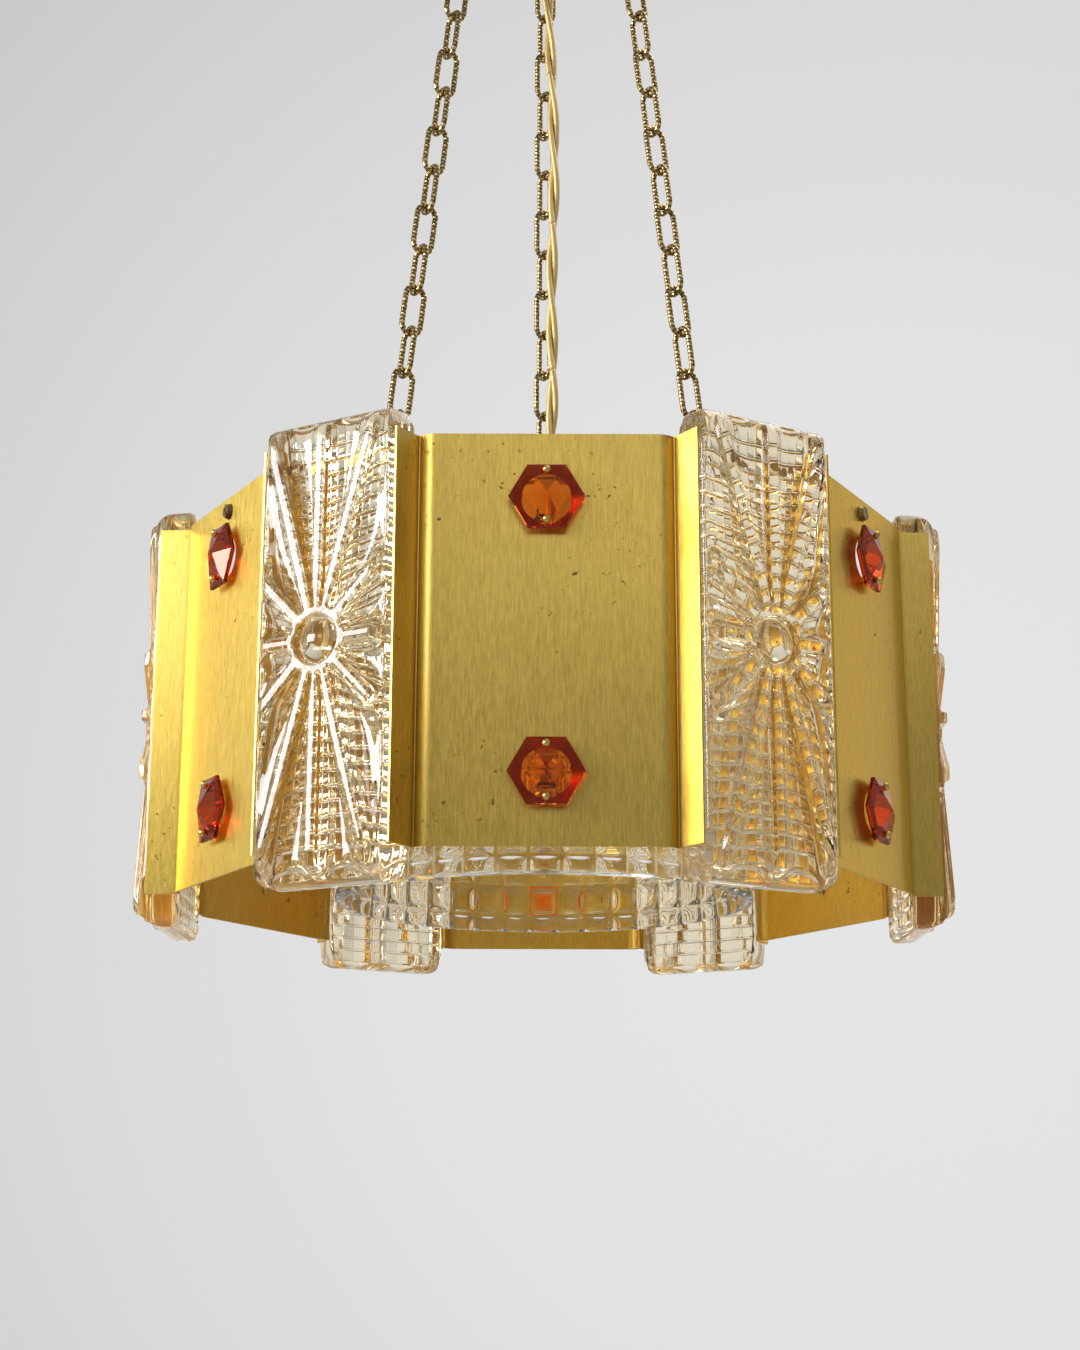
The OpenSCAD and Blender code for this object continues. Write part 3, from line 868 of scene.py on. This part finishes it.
def slab_mesh():
    """One slab's points and faces, before it is turned to its corner."""
    loops, angle = star_loops()
    loops += side_loops(angle, loops[-1][2])
    count = len(angle)
    points = [point for loop in loops for point in zip(*loop)]
    faces = grid_faces(len(loops), count)
    tip = len(points)
    points.append((0, 0, SLAB_BOSS))
    faces += [(tip, (k + 1) % count, k) for k in range(count)]
    first = len(points)
    pads, columns, rows = pad_grid()
    points += pads
    faces += grid_faces(columns, rows, False, first)
    rim = [first + i * rows for i in range(columns)]
    rim += [first + (columns - 1) * rows + j for j in range(1, rows)]
    rim += [first + i * rows + rows - 1 for i in range(columns - 2, -1, -1)]
    rim += [first + j for j in range(rows - 2, 0, -1)]
    bridge(faces, list(range((len(loops) - 1) * count, len(loops) * count)), rim, points)
    return [(out, x, z + SLAB_MIDDLE) for x, z, out in points], faces


def make_slabs():
    points, faces = slab_mesh()
    first = add_mesh("glass_slab_front_right", points, faces, SLAB_GLASS, turn(30))
    recalculate(first.data)
    for number, corner in enumerate(CORNERS):
        name = f"glass_slab_{corner}"
        piece = first
        if number:
            piece = bpy.data.objects.new(name, first.data)
            bpy.context.collection.objects.link(piece)
            piece.matrix_world = turn(30 + number * 60)
        place(piece, "drum", "pressed_glass", f"slab_{corner}")


make_slabs()


# Inner shade: a drum of square pillow cells over a smooth inside.

SHADE_CELLS = 42
CELL_STEPS = 12
SHADE_WALL = 6.5
SHADE_HOLE = 17.5
PILLOW = 2.4
RIM_WALL = 2.6


def pillow_rings(angle):
    """Rings up the outside, whose radius rises over each cell and falls between the cells."""
    tall = SHADE_TOP - SHADE_LOW - 12
    rows = max(1, round(tall / (2 * math.pi * SHADE_R / SHADE_CELLS))) * CELL_STEPS
    across = np.abs(angle * SHADE_CELLS / (2 * math.pi) % 1 * 2 - 1)
    rings = []
    for j in range(rows + 1):
        up = abs((j / CELL_STEPS + 0.5) % 1 * 2 - 1)
        lift = PILLOW * (1 - across ** 3) * (1 - up ** 3)
        rings.append((SHADE_R - PILLOW - 0.1 + lift, SHADE_LOW + 1.2 + tall * j / rows))
    return rings


def make_shade():
    columns = SHADE_CELLS * CELL_STEPS
    angle = np.arange(columns) * 2 * math.pi / columns
    inner = SHADE_R - SHADE_WALL
    rim = RIM_WALL / 2
    rings = [(SHADE_HOLE, SHADE_TOP - 5), *arc(inner - 10, SHADE_TOP - 15.5, 10, 90, 0, 6),
             (inner, SHADE_LOW + 30), (inner, SHADE_LOW + 16),
             *arc(SHADE_R - PILLOW - rim, SHADE_LOW + rim, rim, 180, 340, 8), *pillow_rings(angle),
             *arc(SHADE_R - 11, SHADE_TOP - 8.2, 8, 10, 90, 6), (SHADE_HOLE, SHADE_TOP - 0.2)]
    points = []
    for radius, z in rings:
        x, y = radius * np.cos(angle), radius * np.sin(angle)
        points.extend(zip(x, y, np.full_like(angle, z)))
    faces = grid_faces(len(rings), columns)
    last = (len(rings) - 1) * columns
    faces += [(last + k, last + (k + 1) % columns, (k + 1) % columns, k) for k in range(columns)]
    piece = add_mesh("pressed_shade", points, faces, SHADE_GLASS)
    recalculate(piece.data)
    place(piece, "drum", "clear_glass", "glass_shade")


make_shade()


# Amber crystals: hexagons cut to a point in front and to a small table behind.

CRYSTAL_R = 16.0
CRYSTAL_TABLE = 7.5
CRYSTAL_GIRDLE = (2.0, 3.8)
CRYSTAL_POINT = 8.8


def crystal_mesh():
    low_edge, high_edge = CRYSTAL_GIRDLE
    rings = [(CRYSTAL_TABLE, 0.0), (CRYSTAL_R - 0.4, low_edge - 0.1), (CRYSTAL_R, low_edge + 0.2),
             (CRYSTAL_R, high_edge - 0.2), (CRYSTAL_R - 0.4, high_edge + 0.1)]
    points = [(v, across, up) for r, v in rings for across, up in circle(6, r)]
    faces = grid_faces(len(rings), 6)
    tip = len(points)
    points.append((CRYSTAL_POINT, 0, 0))
    last = (len(rings) - 1) * 6
    faces += [(last + k, last + (k + 1) % 6, tip) for k in range(6)]
    faces.append((5, 4, 3, 2, 1, 0))
    return np.array(points), faces


def make_crystals():
    points, faces = crystal_mesh()
    back = -high("crystal_front_low", 1)
    for number, side in enumerate(SIDES):
        for level in ("low", "high"):
            node = f"crystal_{side}_{level}"
            placed = points + np.array([back, 0, crystal_centre(side, level)])
            piece = add_mesh(f"amber_{side}_{level}", placed, faces, AMBER, turn(number * 60), False)
            recalculate(piece.data)
            place(piece, "drum", "amber", node)


make_crystals()


# Chain links: oval wire, cut with small facets every two millimetres.

REAR_HOOK = next(j["pos_m"] for j in frame["joints"] if j["name"] == "fore_aft_rear")
REAR_EYE = next(j["pos_m"] for j in frame["joints"] if j["name"] == "drum_level")
HOOK_R = REAR_HOOK[1] / MM
HOOK_Z = REAR_HOOK[2] / MM
EYE_R = REAR_EYE[1] / MM
EYE_Z = REAR_EYE[2] / MM
WIRE_D = 3.0
LINK_D = 2.8
LINK_L = 28.2
LINK_W = 13.0
LINK_PLAY = 0.1
HOOK_PLAY = 0.25
LINKS = 15
CHAIN_TILT = 7.0
LINK_YAW = -57
CUTS = 32
CUT_STEPS = 8
CUT_DEEP = 0.18


def facet(i, a):
    """How far the cut nearest to a step goes, and how bright it is rubbed, round the wire."""
    number = (i + CUT_STEPS // 2) // CUT_STEPS
    return abs(math.sin(number * 1.7 + a)) * abs(math.cos(number * 2.9 - 2 * a))


def link_path(steps):
    """Middle of a link's wire: up one side and over the top, and the same again turned half round."""
    bend = (LINK_W - LINK_D) / 2
    half = (LINK_L - LINK_W) / 2
    half_run = 2 * half + math.pi * bend
    path = []
    for s in np.arange(steps) * 2 * half_run / steps:
        sign = 1 if s < half_run else -1
        along = s % half_run
        x, z = bend, along - half
        if along > 2 * half:
            a = (along - 2 * half) / bend
            x, z = bend * math.cos(a), half + bend * math.sin(a)
        path.append((sign * x, 0, sign * z))
    return path


def link_mesh():
    """Points and faces of one link, and how much each point's patina has worn."""
    steps = CUTS * CUT_STEPS
    around = np.arange(12) * math.pi / 6

    def ring_of(i):
        full = abs(math.sin(i * math.pi / CUT_STEPS)) ** 0.6
        shape = []
        for a in around:
            r = LINK_D / 2 - CUT_DEEP * (1 - full) * (0.3 + 0.7 * facet(i, a))
            shape.append((r * math.cos(a), r * math.sin(a)))
        return shape

    points, faces = sweep(link_path(steps), ring_of, True)
    wear = []
    for i in range(steps):
        shine = 1 - (0.5 - 0.5 * math.cos(i * 2 * math.pi / CUT_STEPS)) ** 2
        wear += [shine * (0.12 + 1.3 * facet(i, a)) for a in around]
    return np.array(points), faces, wear


def facing(az):
    """Turns a hook, an eye or a link so that all three chains show the same side."""
    return Matrix.Rotation(math.radians(LINK_YAW - az + 90), 4, "Z")


def make_chains():
    points, faces, wear = link_mesh()
    run = LINK_L - LINK_D
    pitch = run - LINK_D - LINK_PLAY
    gap = (WIRE_D + LINK_D) / 2 + HOOK_PLAY
    for name, az in CHAINS.items():
        hung = turn(az) @ Matrix.Translation((HOOK_R * MM, 0, HOOK_Z * MM))
        hung = hung @ Matrix.Rotation(math.radians(-CHAIN_TILT), 4, "Y") @ facing(az)
        end = LINKS - 1
        for first, last, body in ((0, 0, "top_link"), (1, end - 1, "chain"), (end, end, "bottom_link")):
            all_points, all_faces, all_wear = [], [], []
            for i in range(first, last + 1):
                spin = Matrix.Rotation(math.radians(i % 2 * 90 + 90), 3, "Z")
                shifted = points @ np.array(spin).T + np.array([0, 0, gap - run / 2 - i * pitch])
                all_faces += [tuple(n + len(all_points) for n in face) for face in faces]
                all_points += list(shifted)
                all_wear += wear
            piece = add_mesh(f"{body}_{name}_wire", all_points, all_faces, ANTIQUE, hung)
            layer = piece.data.attributes.new("wear", "FLOAT", "POINT")
            layer.data.foreach_set("value", np.array(all_wear, np.float32))
            place(piece, f"{body}_{name}", "old_brass", f"{body}_{name}")


make_chains()


# Hooks under the canopy, and eyes on the drum's spider

HOOK_RING = 6.0
EYE_RING = 5.0
EYE_STEM_D = 3.9


def wire(path, name, material, diameter=WIRE_D, sides=14):
    ring = circle(sides, diameter / 2)
    points, faces = sweep(path, lambda i: ring, False)
    piece = add_mesh(name, points, faces, material)
    recalculate(piece.data)
    return piece


def at_chain(az, radius):
    return turn(az) @ Matrix.Translation((radius * MM, 0, 0)) @ facing(az)


def make_hooks():
    centre = HOOK_Z + HOOK_RING
    stem = high("canopy_hooks", 2)
    curl = [(x, 0, z) for x, z in arc(0, centre, HOOK_RING, 180, 422, 30)]
    top = centre + HOOK_RING
    neck = [(0.6, 0, top + 1.2), (0, 0, top + 3), (0, 0, stem)]
    pieces = []
    for name, az in CHAINS.items():
        piece = wire(spline(curl + neck, 3), f"hook_{name}", DARK_BRASS)
        piece.matrix_world = at_chain(az, HOOK_R)
        pieces.append(piece)
    place(join(pieces, "hooks"), "canopy", "old_brass", "canopy_hooks")


def make_eyes():
    centre = EYE_Z - EYE_RING
    foot = low("chain_eyes", 2)
    pieces = []
    for name, az in CHAINS.items():
        loop = [(x, 0, z) for x, z in arc(0, centre, EYE_RING, -88, 262, 44)]
        stem = [(0, 0, centre - EYE_RING + 0.6), (0, 0, foot)]
        ring = wire(loop, f"eye_{name}", DARK_BRASS)
        post = wire(stem, f"post_{name}", DARK_BRASS, EYE_STEM_D)
        seat = PANEL_TOP + 0.1
        profile = [(0, seat), (4.4, seat), (4.4, seat + 1.5), (3.4, seat + 2.5), (0, seat + 2.5)]
        collar = lathe(f"collar_{name}", profile, DARK_BRASS, 32)
        for piece in (ring, post, collar):
            piece.matrix_world = at_chain(az, EYE_R)
            pieces.append(piece)
    place(join(pieces, "eyes"), "drum", "old_brass", "chain_eyes")


make_hooks()
make_eyes()


# Pins that hold the crystals

PIN_HEAD_R = 1.75
PIN_R = 0.6


def make_pins():
    """Round-headed pins through the crystals, bent over behind the sheet."""
    rise = 1 - PIN_OFFSET / (CRYSTAL_R * math.cos(math.radians(30)))
    girdle = CRYSTAL_GIRDLE[1]
    seat = PANEL_A + 1 + girdle + (CRYSTAL_POINT - girdle) * rise + 0.6
    back = PANEL_A - SHEET - 0.6
    profile = [(0, seat + 2.0), *arc(0, seat + 0.3, PIN_HEAD_R, 80, 0, 6), (PIN_HEAD_R, seat), (PIN_R, seat),
               (PIN_R, back), (1.6, back), (1.6, back - 0.5), (0, back - 0.7)]
    pieces = []
    for number, side in enumerate(SIDES):
        for level in ("low", "high"):
            for sign in (-1, 1):
                z = crystal_centre(side, level) + sign * PIN_OFFSET
                pin = lathe(f"pin_{side}_{level}_{sign}", profile, BRASS, 20)
                raised = turn(number * 60) @ Matrix.Translation((0, 0, z * MM))
                pin.matrix_world = raised @ Matrix.Rotation(math.pi / 2, 4, "Y")
                pieces.append(pin)
    place(join(pieces, "pins"), "drum", "brass", "crystal_pins")


make_pins()


# Canopy, gland and grip: turned brass

CORD_BORE = 4.6


def make_canopy():
    r, z = CANOPY_R, CANOPY_LOW
    line = r - 0.25
    outer = [(5.1, z), (r - 14, z), *arc(r - 4, z + 4, 4, -90, 0, 8), (r, z + 12), (line, z + 12.4),
             (line, z + 13.2), (r, z + 13.6), (r, -6), (line, -5.6), (line, -4.8), (r, -4.4), (r, -0.6),
             (r - 0.6, -0.5)]
    inner = [(r - 1.2, -0.6), *arc(r - 4, z + 4, 2.8, 0, -90, 6), (5.1, z + 1.2), (5.1, z)]
    piece = finished(lathe("canopy", outer + inner, BRASS, 128), None, 0)
    place(piece, "canopy", "brass", "canopy_cup")


def make_gland():
    foot = CORD_TOP
    top = CANOPY_LOW - 0.1
    profile = [(3.3, top + 7), (5, top + 7), (5, top), (9, top), (9, top - 2),
               *arc(8.2, top - 2.8, 0.8, 0, -60, 3), (7.6, top - 5), (6.6, foot + 2.4),
               *arc(6, foot + 0.7, 0.7, 0, -90, 4), (CORD_BORE, foot), (CORD_BORE, foot + 7.5),
               (3.3, foot + 8), (3.3, top + 7)]
    piece = lathe("gland", profile, BRASS, 64)
    recalculate(piece.data)
    place(finished(piece, None, 0), "canopy", "brass", "cord_gland")


def make_grip():
    foot = low("cord_grip", 2)
    top = CORD_LOW
    profile = [(5.1, foot), (8, foot), (8, foot + 1.6), (7.4, foot + 2.4), (6.9, top - 2),
               *arc(6.0, top - 0.7, 0.7, 0, 90, 4), (CORD_BORE, top), (CORD_BORE, foot + 4),
               (5.1, foot + 3.8), (5.1, foot)]
    piece = lathe("grip", profile, BRASS, 64)
    recalculate(piece.data)
    place(finished(piece, None, 0), "drum", "brass", "cord_grip")


make_canopy()
make_gland()
make_grip()


# Bulb

GLOBE_R = 28.95
BULB_WALL = 0.8
SCREW_R = 12.65
SCREW_DEEP = 0.42
SCREW_STEPS = 48


def make_bulb():
    top = high("bulb_cap", 2)
    cap_low = low("bulb_cap", 2)
    bottom = low("bulb_glass", 2)
    centre = bottom + GLOBE_R
    outline = [(0, bottom), *arc(0, centre, GLOBE_R, -85, 25, 22), (22, centre + 19.5), (17.4, centre + 27),
               (14.2, centre + 34), (12.9, centre + 42), (12.4, cap_low + 1.5)]
    wall = BULB_WALL
    inner = [(max(r - wall, 0), z + (wall if r < 20 and z < centre else 0)) for r, z in outline][::-1]
    glass = lathe("bulb_envelope", outline + [(11.6, cap_low + 1.5)] + inner[1:], THIN_GLASS, 72)
    recalculate(glass.data)
    place(glass, "drum", "bulb_glass", "bulb_glass")
    thread = [(12.6, cap_low)]
    for k in range(SCREW_STEPS):
        thread.append((SCREW_R + SCREW_DEEP * math.sin(k * math.pi / 5), cap_low + 3 + k * 0.3))
    thread += [(12.6, cap_low + 18), (11.2, top - 4), (8, top - 2.6)]
    thread += [(4.6, top - 2), (4.4, top - 0.4), (0, top)]
    cap = lathe("bulb_base", [(0, cap_low + 0.4)] + thread, ZINC, 64)
    recalculate(cap.data)
    place(cap, "drum", "steel", "bulb_cap")
    make_filaments()


def make_filaments():
    base = high("bulb_stem", 2)
    foot = low("bulb_stem", 2)
    stem = [(0, foot + 4), (1.2, foot + 4.4), (1.2, base - 16), (3.6, base - 6), (6.5, base - 0.2), (0, base)]
    pieces = [lathe("stem", stem, BRASS, 24)]
    ends = ((foot + 6, 8.0), (base - 14, 3.4))
    for k in range(6):
        angle = math.radians(k * 60)
        a, b = [Vector((r * math.cos(angle), r * math.sin(angle), z)) for z, r in ends]
        pieces.append(wire([a, (a + b) / 2, b], f"filament_{k}", BRASS, 0.9, 8))
    for z, r in ends:
        hoop = [(r * math.cos(t), r * math.sin(t), z) for t in np.linspace(0, 2 * math.pi, 40)]
        pieces.append(wire(hoop, f"hoop_{int(r)}", BRASS, 0.7, 8))
    place(join(pieces, "bulb_filaments"), "drum", "filament", "bulb_stem")


make_bulb()


# CAD pieces whose shapes are right keep them, with rounded edges and their own materials.

KEPT = {
    ZINC: ["ceiling_bracket", "terminal_screws"],
    PORCELAIN: ["terminal_block", "holder_cap", "holder_shell", "holder_insulator", "shade_ring"],
    DARK_BRASS: ["canopy_screws", "panel_screws"],
    BRASS: ["hook_nuts", "gland_nut", "frame_ring", "spider", "eye_nuts", "nipple", "hub_nut"],
}


def finish_kept():
    for material, nodes in KEPT.items():
        for node in nodes:
            piece = frame["nodes"][node]
            for slot in piece.material_slots:
                slot.material = material
            edge = piece.modifiers.new("edge", "BEVEL")
            edge.width = 0.25 * MM
            edge.segments = 2
            edge.limit_method = "ANGLE"
            edge.angle_limit = math.radians(40)


finish_kept()


# Floor, light and background. The room's levels run from behind the lamp to in front of it.

FLOOR_BELOW = 900
FLOOR_HALF = 6000
ROOM_CENTRE = (0.16, 0.98, 0.16)
ROOM_LEVELS = [
    (0.0, 0.785), (0.11, 0.765), (0.20, 0.685), (0.275, 0.585), (0.36, 0.46), (0.5, 0.42), (1.0, 0.28),
]


def make_floor():
    s = Shader("pale_floor")
    cloud = s.noise(1.5, 3)
    s.set(Base_Color=s.mix(cloud, (0.74, 0.74, 0.73), (0.70, 0.70, 0.69)), Roughness=0.6)
    z = cad_box[0].z / MM - FLOOR_BELOW
    corners = ((-1, -1), (1, -1), (1, 1), (-1, 1))
    points = [(x * FLOOR_HALF, y * FLOOR_HALF, z) for x, y in corners]
    floor = add_mesh("floor", points, [(0, 1, 2, 3)], s.material, None, False)


def make_light(name, place_at, aim, size, power, colour=(1, 1, 1)):
    data = bpy.data.lights.new(name, "AREA")
    data.shape = "RECTANGLE"
    data.size, data.size_y = size
    data.energy = power
    data.color = colour
    light = bpy.data.objects.new(name, data)
    bpy.context.collection.objects.link(light)
    light.location = place_at
    light.rotation_euler = (Vector(aim) - Vector(place_at)).to_track_quat("-Z", "Y").to_euler()
    light.visible_camera = False


def make_world():
    """A pale grey room, lightest behind the lamp."""
    world = bpy.data.worlds.new("room")
    bpy.context.scene.world = world
    world.use_nodes = True
    nodes, links = world.node_tree.nodes, world.node_tree.links
    coords = nodes.new("ShaderNodeTexCoord").outputs["Generated"]
    away = nodes.new("ShaderNodeVectorMath")
    away.operation = "DISTANCE"
    away.inputs[1].default_value = ROOM_CENTRE
    links.new(coords, away.inputs[0])
    share = nodes.new("ShaderNodeMath")
    share.operation = "MULTIPLY"
    share.inputs[1].default_value = 0.5
    links.new(away.outputs["Value"], share.inputs[0])
    ramp = nodes.new("ShaderNodeValToRGB")
    links.new(share.outputs[0], ramp.inputs[0])
    while len(ramp.color_ramp.elements) < len(ROOM_LEVELS):
        ramp.color_ramp.elements.new(0.5)
    for element, (position, level) in zip(ramp.color_ramp.elements, ROOM_LEVELS):
        element.position = position
        element.color = (level * 0.995, level, level * 0.995, 1)
    links.new(ramp.outputs[0], nodes["Background"].inputs[0])


def make_lights():
    middle = Vector((0, 0, (PANEL_LOW + PANEL_TOP) / 2 * MM))
    make_light("key", (-1.32, -0.46, -0.11), middle, (0.88, 0.58), 24, (0.92, 0.96, 1.0))
    make_light("left_fill", (-1.2, 1.1, -0.1), middle, (0.6, 0.8), 0.3, (0.88, 0.95, 1.0))
    make_light("front", (0.35, -1.9, 0.42), middle, (1.0, 0.8), 1.6)
    make_light("front_left", (-0.95, -1.45, 0.1), middle, (0.45, 0.45), 3.6)
    make_light("right_fill", (1.2, 1.1, -0.1), middle, (0.6, 0.8), 0.8, (1.0, 0.80, 0.50))
    make_light("above", (0.5, 0.3, 0.9), middle, (1.3, 1.3), 12, (1.0, 0.98, 0.95))


make_floor()
make_world()
make_lights()

scene = bpy.context.scene
scene.view_settings.view_transform = "Standard"
scene.cycles.use_denoising = True
scene.cycles.max_bounces = 16
scene.cycles.transmission_bounces = 12
scene.cycles.glossy_bounces = 6
scene.cycles.caustics_reflective = False
scene.cycles.sample_clamp_indirect = 6.0
